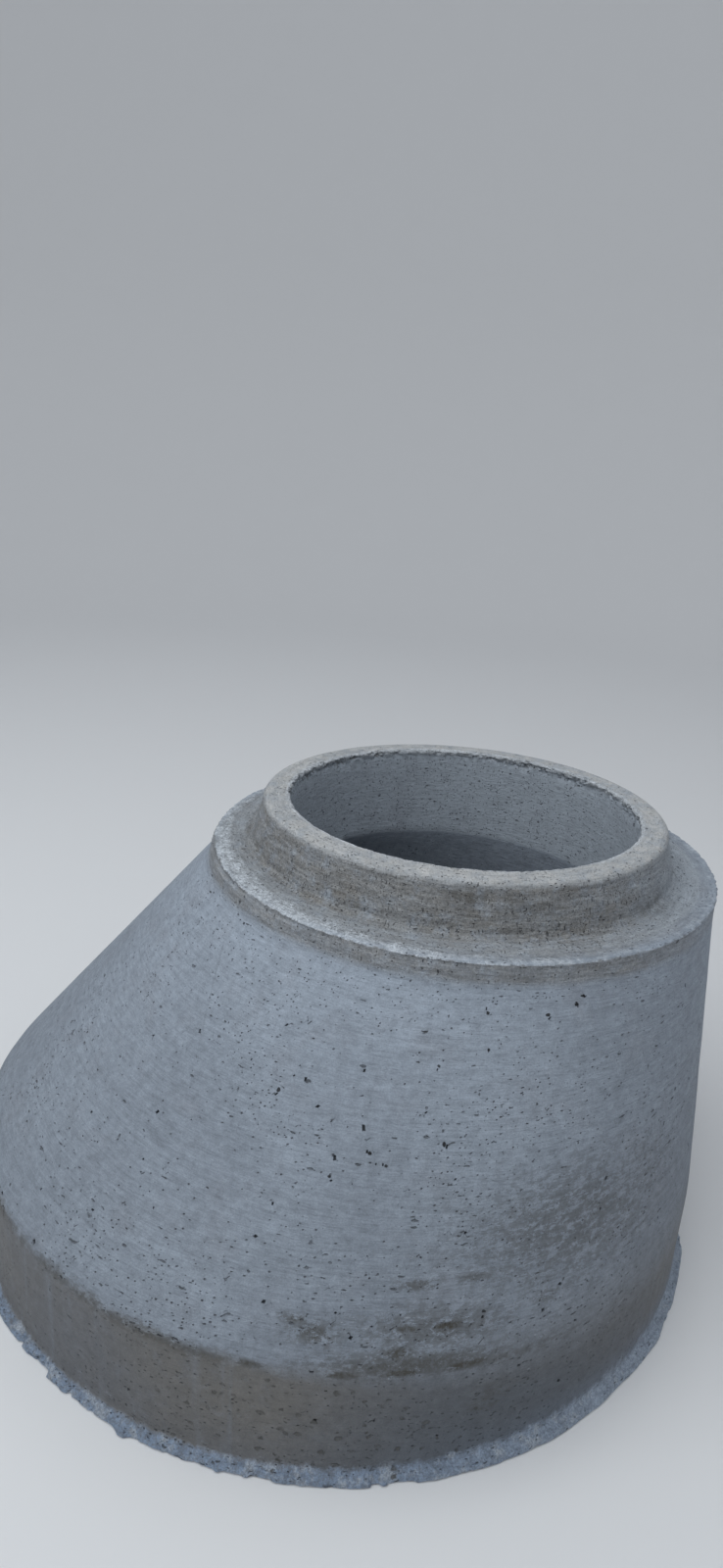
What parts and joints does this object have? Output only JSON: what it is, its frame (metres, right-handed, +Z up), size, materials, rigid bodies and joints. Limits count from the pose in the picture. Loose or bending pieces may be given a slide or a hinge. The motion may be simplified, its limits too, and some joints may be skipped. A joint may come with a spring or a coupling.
{
  "type": "eccentric concrete manhole cone",
  "caption": "Heavy cast concrete cone with one plumb side that narrows a round manhole chamber to a round access opening with a raised neck.",
  "frame": {"origin": "centre of the base circle, on the floor that the cone stands on", "axes": "+Z up, along the access opening's axis; +X towards the plumb side; the cone is symmetric about the XZ plane"},
  "size_m": [1.274, 1.274, 0.715],
  "materials": {
    "concrete": "matt cast concrete, brushed, with bug holes"
  },
  "bodies": {
    "root": {"cone_casting": "concrete"}
  },
  "joints": []
}
